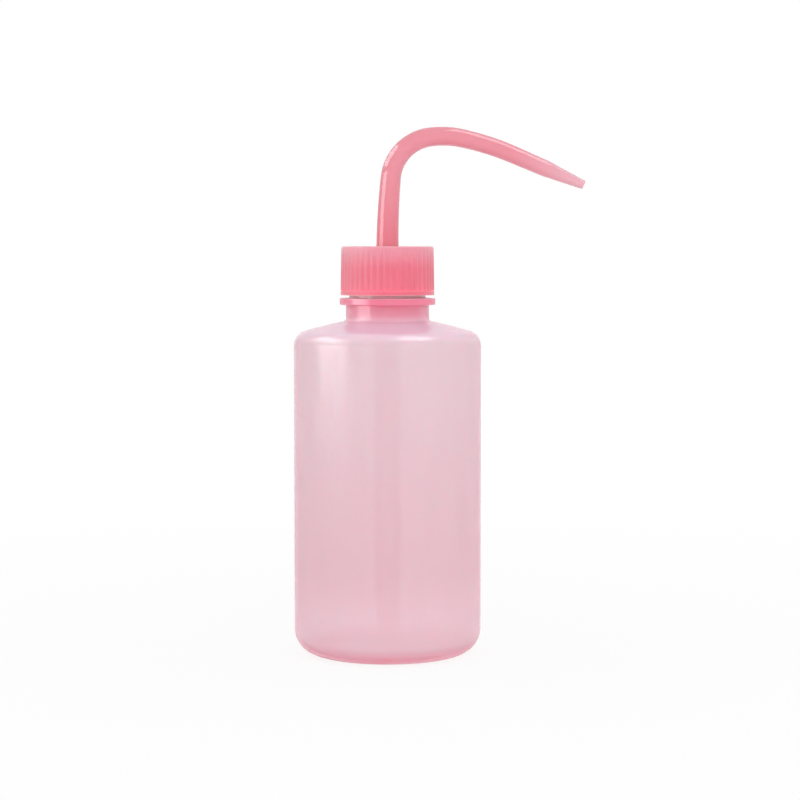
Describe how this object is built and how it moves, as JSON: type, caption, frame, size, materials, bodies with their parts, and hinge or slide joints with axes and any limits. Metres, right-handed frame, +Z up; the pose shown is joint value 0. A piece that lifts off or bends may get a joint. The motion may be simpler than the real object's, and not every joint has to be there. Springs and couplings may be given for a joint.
{
  "type": "wash bottle",
  "caption": "Translucent squeeze wash bottle with a ribbed screw cap, a swivelling bent spout drawn to a fine jet, and a dip tube.",
  "frame": {"origin": "on the bottle's axis, in the plane of the ring that it stands on", "axes": "+Z up along the bottle's axis, +X the way the spout points at rest"},
  "size_m": [0.0932, 0.06, 0.1687],
  "materials": {
    "body_plastic": "satin",
    "cap_plastic": "satin",
    "spout_plastic": "satin",
    "stopper_plastic": "satin",
    "tube_plastic": "satin"
  },
  "bodies": {
    "bottle": {"bottle": "body_plastic"},
    "stopper": {"neck_stopper": "stopper_plastic"},
    "cap": {"screw_cap": "cap_plastic"},
    "spout": {"spout": "spout_plastic", "dip_tube": "tube_plastic"}
  },
  "joints": [
    {"name": "closure_lift", "type": "slide", "parent": "bottle", "child": "stopper", "axis": [0, 0, 1], "range_m": [0, 0.0048]},
    {"name": "cap_turn", "type": "hinge", "parent": "stopper", "child": "cap", "pos_m": [0, 0, 0.1227], "axis": [0, 0, 1], "range_deg": [0, 540]},
    {"name": "spout_swivel", "type": "hinge", "parent": "stopper", "child": "spout", "pos_m": [0, 0, 0.1273], "axis": [0, 0, 1], "continuous": true}
  ],
  "couplings": [
    {"joint": "closure_lift", "follows": "cap_turn", "m_per_rad": 0.00050929}
  ]
}
